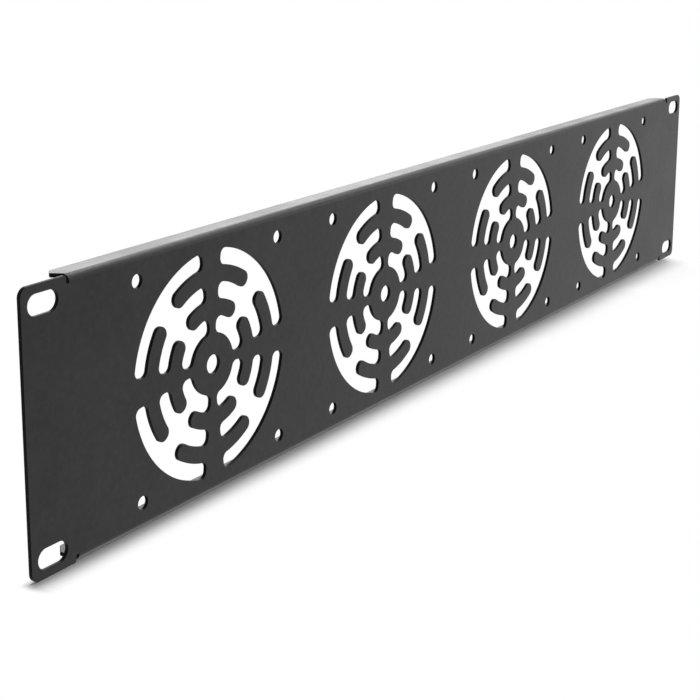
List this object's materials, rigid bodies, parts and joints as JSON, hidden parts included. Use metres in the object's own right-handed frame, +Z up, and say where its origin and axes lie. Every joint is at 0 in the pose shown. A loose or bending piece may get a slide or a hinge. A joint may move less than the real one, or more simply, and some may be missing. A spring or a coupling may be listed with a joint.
{
  "type": "rack fan panel",
  "caption": "Black rack panel folded from sheet steel, with slotted ears, flanged long edges, and finger-guard cut-outs with screw holes for axial fans.",
  "frame": {"origin": "middle of the panel on the plane of the sheet's back, where the ears meet the rack's rails; the middle of the rack slots", "axes": "+X along the panel to the right as seen from the front, +Y into the rack, +Z up; the painted front faces -Y"},
  "size_m": [0.4826, 0.0098, 0.0882],
  "materials": {
    "black_powder_coat": "matt black powder coat with a very fine grain"
  },
  "bodies": {
    "root": {"fan_panel": "black_powder_coat"}
  },
  "joints": []
}
